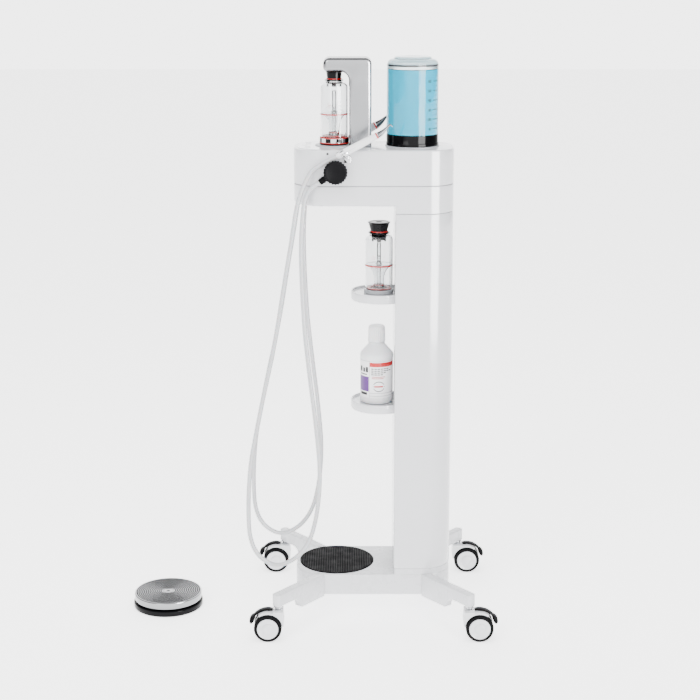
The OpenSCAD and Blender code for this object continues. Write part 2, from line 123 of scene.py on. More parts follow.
def vary_color(mat, bsdf, source, color, spread):
    ramp = mat.node_tree.nodes.new("ShaderNodeValToRGB")
    low = [max(c * (1 - spread), 0) for c in color]
    high = [min(c * (1 + spread), 1) for c in color]
    ramp.color_ramp.elements[0].position = 0.3
    ramp.color_ramp.elements[1].position = 0.7
    ramp.color_ramp.elements[0].color = (*low, 1)
    ramp.color_ramp.elements[1].color = (*high, 1)
    mat.node_tree.links.new(source.outputs[0], ramp.inputs["Fac"])
    mat.node_tree.links.new(ramp.outputs["Color"], bsdf.inputs["Base Color"])


def vary_rough(mat, bsdf, source, low, high):
    span = add_node(mat, "MapRange", From_Min=0.3, From_Max=0.7, To_Min=low, To_Max=high)
    mat.node_tree.links.new(source.outputs[0], span.inputs["Value"])
    mat.node_tree.links.new(span.outputs["Result"], bsdf.inputs["Roughness"])


def bump(mat, bsdf, source, strength, distance):
    node = add_node(mat, "Bump", Strength=strength, Distance=distance)
    mat.node_tree.links.new(source.outputs[0], node.inputs["Height"])
    mat.node_tree.links.new(node.outputs["Normal"], bsdf.inputs["Normal"])


def moulded(name, color, rough, spread=0.02, grain=900.0, depth=0.00003, **sockets):
    """Moulded or painted surface: broad tone drift, roughness patches and fine grain."""
    mat, bsdf, mapping = shader(name, color, rough, **sockets)
    broad = noise(mat, mapping, 14.0)
    fine = noise(mat, mapping, grain, 4.0)
    vary_color(mat, bsdf, broad, color, spread)
    vary_rough(mat, bsdf, noise(mat, mapping, 60.0), rough * 0.8, rough * 1.25)
    bump(mat, bsdf, fine, 0.25, depth)


def metallic(name, color, rough, stretch=(1, 1, 1), grain=1200.0, spread=0.06, depth=0.00004):
    """Bare metal: grain drawn out along one direction, and smudged roughness."""
    mat, bsdf, mapping = shader(name, color, rough, 1.0)
    mapping.inputs["Scale"].default_value = stretch
    fine = noise(mat, mapping, grain, 5.0, 0.65)
    smudge = noise(mat, mapping, 40.0)
    vary_color(mat, bsdf, fine, color, spread)
    vary_rough(mat, bsdf, smudge, rough * 0.75, rough * 1.3)
    bump(mat, bsdf, fine, 0.2, depth)


def see_through(name, color, rough, ior, transmission=1.0, **sockets):
    """Clear moulding or liquid, with faint waviness and wipe marks."""
    mat, bsdf, mapping = shader(
        name, color, rough, 0.0, IOR=ior, Transmission_Weight=transmission, **sockets)
    vary_rough(mat, bsdf, noise(mat, mapping, 35.0), rough, rough + 0.03)
    bump(mat, bsdf, noise(mat, mapping, 25.0, 1.0), 0.05, 0.0002)


WHITE = (0.57, 0.575, 0.595)
RED = (0.40, 0.003, 0.004)

moulded("white_shell", WHITE, 0.16, 0.012, Coat_Weight=0.35, Coat_Roughness=0.06)
moulded("white_paint", (0.56, 0.565, 0.585), 0.28, 0.006, 900.0, 0.00001)
moulded("deck_panel", (0.70, 0.72, 0.75), 0.08, 0.02, Coat_Weight=0.5)
moulded("grey_plastic", (0.32, 0.33, 0.35), 0.4, 0.05)
moulded("dark_iron", (0.06, 0.06, 0.065), 0.7, 0.2, 300.0, 0.0003)
moulded("black_rubber", (0.012, 0.012, 0.014), 0.6, 0.1, 1400.0, 0.0001)
moulded("black_plastic", (0.003, 0.003, 0.0035), 0.42, 0.25, 1500.0, 0.00008, Specular_IOR_Level=0.04)
moulded("black_gloss", (0.002, 0.002, 0.0025), 0.08, 0.2, 900.0, 0.00002, Specular_IOR_Level=0.09)
moulded("white_hose", (0.44, 0.445, 0.46), 0.38, 0.03, 800.0, 0.00006, Subsurface_Weight=0.15,
        Subsurface_Scale=0.002)
moulded("white_grip", (0.72, 0.725, 0.745), 0.24, 0.015)
moulded("light_grip", (0.40, 0.405, 0.425), 0.35, 0.03)
moulded("white_bottle", (0.68, 0.685, 0.70), 0.33, 0.02, 500.0, 0.00006, Subsurface_Weight=0.2,
        Subsurface_Scale=0.004)
moulded("white_wheel", (0.62, 0.625, 0.64), 0.3, 0.02)
moulded("tyre", (0.003, 0.003, 0.0035), 0.55, 0.3, 1600.0, 0.0001, Specular_IOR_Level=0.04)
moulded("motor_grey", (0.1, 0.1, 0.11), 0.4, 0.1)
moulded("board_green", (0.01, 0.09, 0.035), 0.45, 0.25, 500.0)
# The black of the mat's rubber, and also painted shade filling the pedal's grooves
moulded("groove_black", (0.002, 0.002, 0.0025), 0.6, 0.1, 900.0, 0.00003, Specular_IOR_Level=0.02)
moulded("rib_grey", (0.005, 0.005, 0.0056), 0.5, 0.04, 900.0, 0.00001, Specular_IOR_Level=0.03)
moulded("red", RED, 0.3, 0.1)
moulded("purple", (0.07, 0.006, 0.15), 0.4, 0.08)
# ink: black print; the same material also paints the dark shade rings on the bottle
moulded("ink", (0.006, 0.006, 0.008), 0.5, 0.2)
moulded("ink_grey", (0.3, 0.3, 0.32), 0.5, 0.1)
moulded("label", (0.8, 0.8, 0.81), 0.45, 0.015)
metallic("aluminium", (0.25, 0.253, 0.262), 0.22, (1, 1, 1), 2600.0, 0.10)
metallic("chrome", (0.5, 0.505, 0.52), 0.07, (1, 1, 1), 900.0, 0.04, 0.00001)
metallic("steel", (0.55, 0.56, 0.57), 0.22, (1, 1, 6), 1500.0, 0.08)
metallic("turned_steel", (0.26, 0.262, 0.27), 0.14, (1, 1, 1), 2200.0, 0.1)
metallic("tip_steel", (0.11, 0.112, 0.118), 0.2, (1, 1, 1), 2200.0, 0.1)
metallic("brass", (0.7, 0.5, 0.2), 0.28)
see_through("clear", (0.86, 0.87, 0.875), 0.0, 1.45)
moulded("water_top", (0.55, 0.72, 0.78), 0.08, 0.01, 60.0, 0.0001)
see_through("clear_thin", (0.93, 0.97, 0.98), 0.0, 1.25)
see_through("smoke_clear", (0.86, 0.87, 0.88), 0.04, 1.4)
# The water gives off its own cyan emission: a painted glow standing in for light coming through it
see_through("blue_water", (0.0, 0.30, 0.44), 0.02, 1.15, 0.05, Emission_Color=(0.0, 0.44, 0.62, 1),
        Emission_Strength=0.75)


# ---------------------------------------------------------------- mesh helpers

def add_mesh(name, verts, faces, body, look, node=None, sharp=32.0):
    """Makes a piece from points in cart millimetres, rides it, and hides the node it replaces."""
    mesh = bpy.data.meshes.new(name)
    mesh.from_pydata([row(v) for v in verts], [], faces)
    bm = bmesh.new()
    bm.from_mesh(mesh)
    bmesh.ops.remove_doubles(bm, verts=bm.verts, dist=1e-6)
    bmesh.ops.recalc_face_normals(bm, faces=bm.faces)
    bm.to_mesh(mesh)
    bm.free()
    return dress(name, mesh, body, look, node, sharp)


def dress(name, mesh, body, look, node, sharp):
    for polygon in mesh.polygons:
        polygon.use_smooth = True
    mesh.set_sharp_from_angle(angle=math.radians(sharp))
    mesh.materials.append(MATERIALS[look])
    piece = bpy.data.objects.new(name, mesh)
    bpy.context.scene.collection.objects.link(piece)
    if body:
        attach(piece, body)
    if node:
        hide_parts(*([node] if isinstance(node, str) else node))
    return piece


NODE_SLOTS = {s["node"]: s["material_slot"] for s in frame["record"]["subparts"]}


def arc(cx, cz, r, a0, a1, steps=8):
    """Points of an arc, angles in degrees."""
    return [
        (cx + r * math.cos(math.radians(a0 + (a1 - a0) * i / steps)),
         cz + r * math.sin(math.radians(a0 + (a1 - a0) * i / steps)))
        for i in range(steps + 1)
    ]


def turned(profile, segs=96):
    """Revolves (radius, height) points about Z. Points with no radius become one pole."""
    verts, faces, rings = [], [], []
    for r, z in profile:
        if r < 1e-6:
            rings.append([len(verts)])
            verts.append((0, 0, z))
        else:
            rings.append(list(range(len(verts), len(verts) + segs)))
            verts += [
                (r * math.cos(2 * math.pi * k / segs), r * math.sin(2 * math.pi * k / segs), z)
                for k in range(segs)
            ]
    for a, b in zip(rings, rings[1:]):
        for k in range(segs):
            n = (k + 1) % segs
            if len(a) == 1 and len(b) == 1:
                continue
            if len(a) == 1:
                faces.append((a[0], b[k], b[n]))
            elif len(b) == 1:
                faces.append((a[k], a[n], b[0]))
            else:
                faces.append((a[k], a[n], b[n], b[k]))
    return verts, faces


def placed(made, at, turn=None):
    """Turns and moves a pair of points and faces."""
    verts, faces = made
    m = turn.to_4x4() if turn else Matrix.Identity(4)
    return [tuple(m @ Vector(v) + Vector(at)) for v in verts], faces


def lathe(name, profile, at, body, look, node=None, segs=96, turn=None, sharp=32.0):
    made = placed(turned(profile, segs), at, turn)
    return add_mesh(name, *made, body, look, node, sharp)


def closed_lathe(name, profile, at, body, look, node=None, segs=96, turn=None, sharp=32.0):
    """Revolves a closed section, such as a ring or a thin wall."""
    return lathe(name, profile + [profile[0]], at, body, look, node, segs, turn, sharp)


def bulged(r0, r1, out, z0, z1):
    """Section of a ring whose outer face stands out furthest at its middle."""
    return [(r0, z0), (r1, z0), (r1 + out, (z0 + z1) / 2), (r1, z1), (r0, z1)]


def loft(loops):
    """Skins rings of points, one after another, and closes both ends."""
    n = len(loops[0])
    verts = [p for loop in loops for p in loop]
    faces = [
        (i * n + k, i * n + (k + 1) % n, (i + 1) * n + (k + 1) % n, (i + 1) * n + k)
        for i in range(len(loops) - 1) for k in range(n)
    ]
    faces += [tuple(range(n - 1, -1, -1)), tuple(range((len(loops) - 1) * n, len(loops) * n))]
    return verts, faces


def joined(parts):
    """Puts several pairs of points and faces into one."""
    verts, faces = [], []
    for v, f in parts:
        faces += [tuple(i + len(verts) for i in face) for face in f]
        verts += v
    return verts, faces


BODY_L, BODY_D, BODY_R = 286, 144, 52
COLUMN_X = 38


def body_outline(inset):
    """The rounded outline that the base and the head share."""
    r = BODY_R - inset
    cx, cy = BODY_L / 2 - BODY_R, BODY_D / 2 - BODY_R
    points = []
    for sx, sy, a0 in ((1, -1, -90), (1, 1, 0), (-1, 1, 90), (-1, -1, 180)):
        points += arc(sx * cx, sy * cy, r, a0, a0 + 90, 16)
    return points


def column_outline(inset):
    """The right end of the body outline, with a flat left face and small corners."""
    r = BODY_R - inset
    cx, cy = BODY_L / 2 - BODY_R, BODY_D / 2 - BODY_R
    x0, y0, c = COLUMN_X + inset, BODY_D / 2 - inset, 3.0
    points = arc(x0 + c, c - y0, c, 180, 270, 4)
    points += arc(cx, -cy, r, -90, 0, 16) + arc(cx, cy, r, 0, 90, 16)
    return points + arc(x0 + c, y0 - c, c, 90, 180, 4)


def banded(outline, profile):
    """Stacks one outline at each (inset, height) of a profile."""
    return loft([[(x, y, z) for x, y in outline(inset)] for inset, z in profile])


def rounded_profile(z0, z1, low, high):
    """(inset, height) points of a wall with rounded lower and upper edges."""
    return arc(low, z0 + low, low, 270, 180, 5) + arc(high, z1 - high, high, 180, 90, 5)


def ribbed(rows, radius, ribs, steps, power):
    """A turned shape with ribs round it; rows hold (inset, height, depth of the ribs)."""
    loops = []
    for inset, z, depth in rows:
        loop = []
        for k in range(ribs * steps):
            a = 2 * math.pi * k / (ribs * steps)
            r = radius - inset - depth * (0.5 - 0.5 * math.cos(a * ribs)) ** power
            loop.append((r * math.cos(a), r * math.sin(a), z))
        loops.append(loop)
    return loft(loops)


def beveled(verts, faces, chosen, width, segments):
    """Rounds the edges for which chosen(edge) is true; returns points and faces."""
    bm = bmesh.new()
    made = [bm.verts.new(v) for v in verts]
    for f in faces:
        bm.faces.new([made[i] for i in f])
    bmesh.ops.recalc_face_normals(bm, faces=bm.faces)
    edges = [e for e in bm.edges if chosen(e)]
    bmesh.ops.bevel(bm, geom=edges, offset=width, segments=segments, profile=0.5, affect="EDGES",
            clamp_overlap=True)
    bm.verts.index_update()
    out = [tuple(v.co) for v in bm.verts], [[v.index for v in f.verts] for f in bm.faces]
    bm.free()
    return out


def steep(edge, degrees=30):
    if len(edge.link_faces) != 2:
        return False
    return edge.calc_face_angle(0) > math.radians(degrees)


def prism(points, y0, y1):
    """Extrudes an outline in (x, z) across y."""
    return loft([[(x, y0, z) for x, z in points], [(x, y1, z) for x, z in points]])


def block(x, y, z):
    return prism([(x[0], z[0]), (x[1], z[0]), (x[1], z[1]), (x[0], z[1])], y[0], y[1])


def soft_block(name, x, y, z, body, look, radius):
    return add_mesh(name, *beveled(*block(x, y, z), steep, radius, 3), body, look)


def tube_mesh(points, radius, sides=16):
    """A round tube with closed ends along a list of points."""
    points = [Vector(p) for p in points]
    loops, normal = [], Vector((0, 1, 0))
    for i, p in enumerate(points):
        t = (points[min(i + 1, len(points) - 1)] - points[max(i - 1, 0)]).normalized()
        normal = (normal - t * normal.dot(t)).normalized()
        other = t.cross(normal)
        r = radius(i) if callable(radius) else radius
        loops.append([
            tuple(p + r * (math.cos(a) * normal + math.sin(a) * other))
            for a in [2 * math.pi * k / sides for k in range(sides)]
        ])
    return loft(loops)


def patch(radius, a0, a1, z0, z1, centre, thick=0.25, steps=10):
    """A thin curved label on a round wall; angles are from the front, towards +X."""
    inner, outer = [], []
    for i in range(steps + 1):
        a = math.radians(a0 + (a1 - a0) * i / steps)
        for out, r in ((inner, radius), (outer, radius + thick)):
            out.append((centre[0] + r * math.sin(a), centre[1] - r * math.cos(a)))
    ring = outer + inner[::-1]
    return loft([[(x, y, z) for x, y in ring] for z in (z0, z1)])


def add_patches(name, patches, body, look):
    """Joins several curved patches into one piece."""
    return add_mesh(name, *joined(patches), body, look)


# ---------------------------------------------------------------- cords

HOSE_R = 4
HOSE_Y = 82
HOSE_ROUTE = [
    (-96, 817), (-108, 809), (-116, 799), (-122, 784), (-125, 764), (-128, 728), (-129, 690),
    (-128, 640), (-126, 594), (-123, 544), (-118, 494), (-112, 440), (-106, 390), (-101, 340),
    (-98, 300), (-98, 262), (-101, 224), (-107, 188), (-116, 158), (-130, 134), (-150, 116),
    (-175, 107), (-198, 115), (-215, 133), (-225, 160), (-228, 196), (-227, 250), (-222, 306),
    (-211, 366), (-198, 430), (-184, 494), (-172, 556), (-160, 630), (-147, 706), (-137, 768),
    (-128, 800), (-119, 821), (-108, 838), (-90, 850), (-64.3, 862.8),
]


def smooth_route(points, steps=6):
    """A Catmull-Rom curve through the route's points."""
    out = []
    for i in range(len(points) - 1):
        p0, p1 = points[max(i - 1, 0)], points[i]
        p2, p3 = points[i + 1], points[min(i + 2, len(points) - 1)]
        for k in range(steps):
            t = k / steps
            out.append(tuple(0.5 * (2 * b + (c - a) * t + (2 * a - 5 * b + 4 * c - d) * t * t
                    + (3 * b - a - 3 * c + d) * t ** 3) for a, b, c, d in zip(p0, p1, p2, p3)))
    return out + [points[-1]]


def make_hose(side):
    y = SIDES[side] * HOSE_Y
    line = [(x, y, z) for x, z in smooth_route(HOSE_ROUTE)]
    hose = add_mesh("hose_" + side + "_tube", *tube_mesh(line, HOSE_R, 20), None, "white_hose",
            "hose_" + side, 50.0)
    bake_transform(hose)


for side in SIDES:
    make_hose(side)


# ---------------------------------------------------------------- base and column

BASE_Z, BASE_TOP, PLINTH_TOP = 44, 85, 96
COLUMN_TOP, HEAD_Z, TRAY_TOP, DECK_Z = 758.5, 772, 808, 872
SHELF_Z = (591, 386)


def make_base():
    add_mesh("base_shell", *banded(body_outline, rounded_profile(BASE_Z, BASE_TOP, 4, 2.5)), "cart",
            "white_paint", "base_casting")
    plinth = [(0.8, BASE_TOP - 1), (0.8, PLINTH_TOP - 1.5), (1.6, PLINTH_TOP - 0.6),
            (1.6, PLINTH_TOP + 1)]
    add_mesh("base_plinth", *banded(column_outline, plinth), "cart", "white_paint")
    for i, x in enumerate((-95, 0, 95)):
        lathe("base_screw_%d" % i, [(0, 42.6), (2.2, 42.6), (2.4, 42.2), (5, 42.2), (5.4, 42.8),
              (5.4, 44.5), (0, 44.5)], (x, 0, 0), "cart", "chrome", segs=32)


def make_mat():
    centre, radius, pitch = -67.5, 69.5, 4.455
    lathe("mat_disc", [(0, BASE_TOP), (radius, BASE_TOP), (radius, BASE_TOP + 0.9),
          (radius - 0.4, BASE_TOP + 1.3), (0, BASE_TOP + 1.3)], (centre, 0, 0), "cart",
          "groove_black", "base_mat", 128)
    ribs = []
    for i in range(-15, 16):
        x = i * pitch
        half = math.sqrt((radius - 1.2) ** 2 - x * x)
        ridge = [(x - 1.25, 86.2), (x - 0.9, 86.9), (x - 0.45, 87.15), (x + 0.45, 87.15), (x + 0.9, 86.9),
                (x + 1.25, 86.2)]
        ribs.append(prism([(centre + a, b) for a, b in ridge], -half, half))
    add_mesh("mat_ribs", *joined(ribs), "cart", "rib_grey")


STEM_X, STEM_Y = 172, 164


def leg_profile():
    """Side outline of a leg: distance inwards from the stem, and height."""
    deep = arc(37, 43, 20, 90, 4, 10)
    return [(-8.5, 63)] + deep + [(57, 42.5), (122, 42.5), (122, 85), (-8.5, 85)]


def make_leg(name, sx, sy):
    half = 8.5
    verts, faces = prism(leg_profile(), -half, half)
    verts, faces = beveled(verts, faces,
            lambda e: all(v.co.x < -8 for v in e.verts) and abs(e.verts[0].co.z - e.verts[1].co.z) > 9,
            6.5, 6)
    turn = Matrix.Rotation(math.atan2(STEM_Y - 72, STEM_X - 99) + math.pi, 3, "Z")
    verts, faces = placed(beveled(verts, faces, steep, 1.3, 3), (STEM_X, STEM_Y, 0), turn)
    verts = [(x * sx, y * sy, z) for x, y, z in verts]
    return add_mesh("leg_" + name, verts, faces, "cart", "white_paint")


def make_legs():
    legs = [make_leg(name, sx, sy) for name, (sx, sy) in CASTERS.items()]
    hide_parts("legs")


def make_column():
    profile = [(1.2, PLINTH_TOP), (0.4, PLINTH_TOP + 0.5), (0, PLINTH_TOP + 1.3)]
    profile += [(0, z) for z in range(120, 740, 60)]
    profile += [(0, COLUMN_TOP - 1.3), (0.4, COLUMN_TOP - 0.5), (1.2, COLUMN_TOP)]
    add_mesh("column_cover", *banded(column_outline, profile), "cart", "white_shell", "column_shell")
    add_mesh("column_seam", *banded(column_outline, [(2.2, COLUMN_TOP - 1), (2.2, COLUMN_TOP + 2)]),
            "cart", "grey_plastic")


def shelf_tray(z):
    centre, radius, wall = 13, 54, 3
    top = z + 16.5

    def ring(r, height_at):
        a = math.acos(min(1, (COLUMN_X - centre) / r))
        return [(centre + r * math.cos(t), r * math.sin(t), height_at) for t in [a + (2 * math.pi - 2 * a)
                * k / 72 for k in range(73)]]

    return loft([ring(radius - 3, z), ring(radius - 1, z + 0.6), ring(radius, z + 2.5),
            ring(radius, top - 1.2), ring(radius - 0.4, top - 0.3), ring(radius - 1.2, top),
            ring(radius - wall + 0.8, top), ring(radius - wall, top - 0.8), ring(radius - wall, z + 13),
            ring(radius - wall - 0.6, z + 12.3), ring(radius - wall - 1.6, z + 12)])


def make_shelves():
    trays = joined([shelf_tray(z) for z in SHELF_Z])
    add_mesh("shelf_trays", *trays, "cart", "white_shell", "shelves")


make_base()
make_mat()
make_legs()
make_column()
make_shelves()


# ---------------------------------------------------------------- head

def make_head():
    add_mesh("head_neck", *banded(column_outline, [(0, COLUMN_TOP + 1.2), (0, COLUMN_TOP + 1.8),
            (0, HEAD_Z + 6.9)]), "cart", "white_shell")
    tray = rounded_profile(HEAD_Z, TRAY_TOP - 0.4, 7, 0.8)
    add_mesh("head_lower_shell", *banded(body_outline, tray), "cart", "white_shell", "head_tray")
    add_mesh("head_seam", *banded(body_outline, [(1.8, TRAY_TOP - 1), (1.8, TRAY_TOP + 2.4)]), "cart",
            "ink_grey")
    unit = rounded_profile(TRAY_TOP + 1.2, DECK_Z, 0.8, 3.2)
    add_mesh("unit_shell", *banded(body_outline, unit), "cart", "white_shell",
            ["unit_housing", "unit_deck"])


def make_panel():
    """The touch panel's glass and a few round key marks."""
    cut = -96

    def panel_outline(inset):
        return [(min(x, cut - inset), y) for x, y in body_outline(7 + inset)]

    add_mesh("panel_glass", *banded(panel_outline, [(0, DECK_Z - 0.5), (0, DECK_Z + 0.6),
            (0.4, DECK_Z + 0.9)]), "cart", "deck_panel", "touch_panel")
    keys = [(-118, y) for y in (-44, -30, -16, 16, 30, 44)] + [(-124, 0)]
    for i, (x, y) in enumerate(keys):
        closed_lathe("panel_key_%d" % i, [(4.4, DECK_Z + 0.85), (5.0, DECK_Z + 0.85),
                (5.0, DECK_Z + 0.99), (4.4, DECK_Z + 0.99)], (x, y, 0), "cart", "ink_grey", segs=40)


def make_indicators():
    """The small red and grey marks on the unit's left end, and the dark port on its side."""
    left = -BODY_L / 2
    soft_block("end_mark_red", (left - 0.4, left + 2), (-3, 3), (846, 854), "cart", "red", 0.5)
    soft_block("end_mark_grey", (left - 0.4, left + 2), (-2, 2), (838, 842), "cart", "ink_grey", 0.5)
    lathe("side_port", [(0, 0.6), (1.6, 0.6), (2.1, 0.2), (2.1, -1), (0, -1)],
          (-82, -72, 866), "cart", "ink", segs=24, turn=Matrix.Rotation(math.pi / 2, 3, "X"))


TOWER_X = (-90, -44, -4.4)
TOWER_TOP, NOSE_Z = 1030, 1006
NOSE_R, TOWER_EDGE = 7, 6.9
CHAMBER_X = -71
BOTTLE_X, BOTTLE_R = 69, 46


def tower_outline():
    x0, x1, x2 = TOWER_X
    r, fillet = 11, 16
    points = [(x0, NOSE_Z + NOSE_R)] + arc(x0 + r, TOWER_TOP - r, r, 180, 90, 8)
    points += arc(x2 - r, TOWER_TOP - r, r, 90, 0, 8) + [(x2, DECK_Z - 1), (x1, DECK_Z - 1)]
    points += arc(x1 - fillet, NOSE_Z - fillet, fillet, 0, 90, 10)
    return points + arc(x0 + NOSE_R, NOSE_Z + NOSE_R, NOSE_R, 270, 180, 6)[:-1]


def make_tower():
    half = 28
    verts, faces = prism(tower_outline(), -half, half)

    def along_outline(e):
        return abs(e.verts[0].co.y - e.verts[1].co.y) < 0.01 and steep(e)

    arch = beveled(verts, faces, along_outline, TOWER_EDGE, 8)
    add_mesh("tower_arch", *arch, "cart", "aluminium", "powder_tower", 40.0)
    liner = [(-84, 1005.5), (-60, 1005.5)] + arc(-60, 990, 15.5, 90, 0, 8) + [(-44.5, 980)]
    back = [(-43.6, 980)] + arc(-60, 990, 16.4, 0, 90, 8) + [(-60, 1006.4), (-84, 1006.4)]
    add_mesh("tower_corner", *prism(liner + back, -19, 19), "cart", "black_gloss", "tower_liner")
    soft_block("nose_mark", (-90.6, -88), (-3.2, 3.2), (1011, 1015), "cart", "red", 0.5)


def make_deck_rings():
    lathe("chamber_rest", [(0, DECK_Z - 0.5), (34.5, DECK_Z - 0.5), (34.5, DECK_Z + 1.2),
          (33.6, DECK_Z + 2.4), (31, DECK_Z + 2.9), (29, DECK_Z + 2.6), (0, DECK_Z + 2.6)],
          (CHAMBER_X, 0, 0), "cart", "grey_plastic", "chamber_platform", 128)
    lathe("bottle_rest", [(0, DECK_Z - 0.5), (48.5, DECK_Z - 0.5), (48.5, DECK_Z + 1.2),
          (47.9, DECK_Z + 1.9), (46, DECK_Z + 2), (0, DECK_Z + 2)],
          (BOTTLE_X, 0, 0), "cart", "grey_plastic", "bottle_socket", 128)
    lathe("bottle_valve", [(0, DECK_Z + 12), (4.8, DECK_Z + 12), (6, DECK_Z + 10.8),
          (6, DECK_Z + 1.5), (0, DECK_Z + 1.5)], (BOTTLE_X, 0, 0), "cart", "chrome", segs=48)


make_head()
make_panel()
make_indicators()
make_tower()
make_deck_rings()


# ---------------------------------------------------------------- bottle

def bottle_wall(r, top):
    """Outer or inner face of the bottle: wall, shoulder and the raised disc on its top."""
    shoulder = 11
    return ([(r, 894.2), (r, top - shoulder - 4)] + arc(r - shoulder, top - shoulder - 4, shoulder, 0, 84,
            10) + [(r - 12.4, top - 3.9), (r - 12.8, top - 3.2), (r - 13.2, top - 1.6),
            (r - 14.2, top - 0.4), (r - 16, top), (r - 20, top - 0.3), (0, top - 0.5)])


def make_bottle():
    outer = bottle_wall(BOTTLE_R, 1031)
    inner = bottle_wall(BOTTLE_R - 2.2, 1028.4)
    lathe("bottle_dome", [(BOTTLE_R - 1.9, 894.2)] + outer + inner[::-1],
          (BOTTLE_X, 0, 0), "bottle", "clear_thin", "water_bottle", 144, sharp=50.0)
    # Three dark rings of painted shade: the dark band under the top disc, a dark line round the shoulder
    # and a dark line at the water's surface
    for i, (r, z, w, h) in enumerate(((33.4, 1026.3, 1.5, 1.1), (44.1, 1014.8, 0.5, 3.0),
            (43.7, 1009.2, 0.9, 0.8))):
        closed_lathe("bottle_line_%d" % i, [(r - w, z), (r, z), (r, z + h), (r - w, z + h)],
                (BOTTLE_X, 0, 0), "bottle", "ink", segs=144)
    lathe("bottle_water", [(0, 894.4)] + [(BOTTLE_R - 3, 894.4), (BOTTLE_R - 2.3, 895.2)]
            + [(BOTTLE_R - 2.3, z) for z in (930, 970, 1007.6)] + [(BOTTLE_R - 2.6, 1008.6),
            (BOTTLE_R - 5, 1009), (0, 1009)], (BOTTLE_X, 0, 0), "bottle", "blue_water", "water", 144)
    lathe("bottle_water_top", [(0, 1009.4), (43.5, 1009.4), (43.5, 1009.1), (0, 1009.1)],
          (BOTTLE_X, 0, 0), "bottle", "water_top", segs=144)
    lathe("bottle_collar_ring", [(0, 874.2), (45.8, 874.2), (47.4, 875.4), (47.4, 878.6),
          (46.9, 879.6), (46.5, 880.4), (46.5, 892.4), (46.1, 893.6), (45, 894.1), (0, 894.1)],
          (BOTTLE_X, 0, 0), "bottle", "black_gloss", "bottle_collar", 144)
    centre = (BOTTLE_X, 0)
    marks = []
    for i in range(12):
        z = 905 + i * 8.4
        start, end = ((60, 66), (50, 76))[i % 2 == 0]
        marks.append(patch(BOTTLE_R, start, end, z, z + 1.3, centre, 0.35, 6))
    add_patches("bottle_scale", marks, "bottle", "ink")
    digits = []
    for i in range(6):
        for figure, angle in ((i + 1, 34.5), (0, 38.8)):
            digits += numeral(figure, BOTTLE_R, angle, 903.2 + i * 16.8, centre)
    add_patches("bottle_scale_numbers", digits, "bottle", "ink")


# Which of the seven bars (top, upper left, upper right, middle, lower left, lower right,
# bottom) each figure of the scale shows
FIGURES = {0: "1110111", 1: "0010010", 2: "1011101", 3: "1011011", 4: "0111010", 5: "1101011",
        6: "1101111"}


def numeral(figure, radius, angle, z, centre):
    wide, tall, line = 2.7, 4.6, 0.8
    bars = []
    places = [
        (0, wide, tall - line, tall), (0, line, tall / 2, tall), (wide - line, wide, tall / 2, tall),
        (0, wide, (tall - line) / 2, (tall + line) / 2), (0, line, 0, tall / 2),
        (wide - line, wide, 0, tall / 2), (0, wide, 0, line),
    ]
    for shown, (x0, x1, z0, z1) in zip(FIGURES[figure], places):
        if shown == "1":
            bars.append(patch(radius, angle + math.degrees(x0 / radius), angle
                    + math.degrees(x1 / radius), z + z0, z + z1, centre, 0.35, 2))
    return bars


make_bottle()


# ---------------------------------------------------------------- powder chambers

def flare(r0, r1, z0, z1, steps=10):
    """A trumpet curve from a narrow foot to a wide rim."""
    return [(r0 + (r1 - r0) * (i / steps) ** 2.2, z0 + (z1 - z0) * i / steps) for i in range(steps + 1)]


def make_jar(prefix, x, z0, body, glass_node, funnel_node, r, height, mid):
    """A powder jar: glass wall with a shoulder, funnel, inner tube and red rings."""
    at = (x, 0, z0)
    wall, bend = 2.2, 11
    outer = [(r, 0), (r, height - bend)] + arc(r - bend, height - bend, bend, 8, 76, 7)
    outer += [(13.2, height), (12, height + 1), (12, height + 7)]
    inner = [(10, height + 7), (10.2, height - 1.4)]
    inner += arc(r - bend, height - bend - 0.6, bend - wall, 76, 4, 7) + [(r - wall, 0)]
    closed_lathe(prefix + "_jar", outer + inner, at, body, "clear", glass_node, 128, sharp=50.0)
    cone = [(9.6, 8.6), (9.6, 16)] + flare(9.8, r - 2.6, 17, mid)
    hollow = [(a - 1.2, b + 0.4) for a, b in cone][::-1]
    closed_lathe(prefix + "_cone", cone + hollow, at, body, "clear", funnel_node, 96, sharp=50.0)
    closed_lathe(prefix + "_riser", [(3.8, 1), (3.8, height - 17), (3.2, height - 16), (2.6, height - 17),
            (2.6, 1)], at, body, "clear", segs=48)
    closed_lathe(prefix + "_ledge", [(3.9, mid + 1.2), (r - 2.4, mid + 1.2), (r - 2.4, mid + 2.2),
            (6.4, mid + 2.2), (6, mid + 5.4), (3.9, mid + 5.4)], at, body, "clear", segs=96)
    closed_lathe(prefix + "_mid_ring", bulged(r - 1.7, r + 0.25, 0.25, mid - 1.1, mid + 1.1), at, body,
            "red", segs=128)
    closed_lathe(prefix + "_foot_seal", bulged(15, r - 2.8, 0.3, 0.6, 2), at, body, "red", segs=96)
    closed_lathe(prefix + "_foot_ring", [(5.4, 2.4), (9.4, 2.4), (9.4, 6), (5.4, 6)], at, body, "chrome",
            segs=64)
    teeth = [patch(9.2, a, a + 20, z0 + 2.6, z0 + 5.8, (x, 0), 0.7, 3) for a in range(-170, 190, 36)]
    add_patches(prefix + "_foot_teeth", teeth, body, "black_gloss")
    closed_lathe(prefix + "_neck_seal", bulged(5.4, 9.9, 0.4, 6.2, 8), at, body, "red", segs=64)
    lines = [patch(r, a, a + w, z0 + mid + z, z0 + mid + z + 0.55, (x, 0), 0.1, 4)
            for a, w, z in ((-34, 18, 14), (-26, 14, 16.6), (-30, 9, 19.2), (18, 5, 17), (18, 3, 20),
            (19, 3, 23))]
    add_patches(prefix + "_level_lines", lines, body, "red")


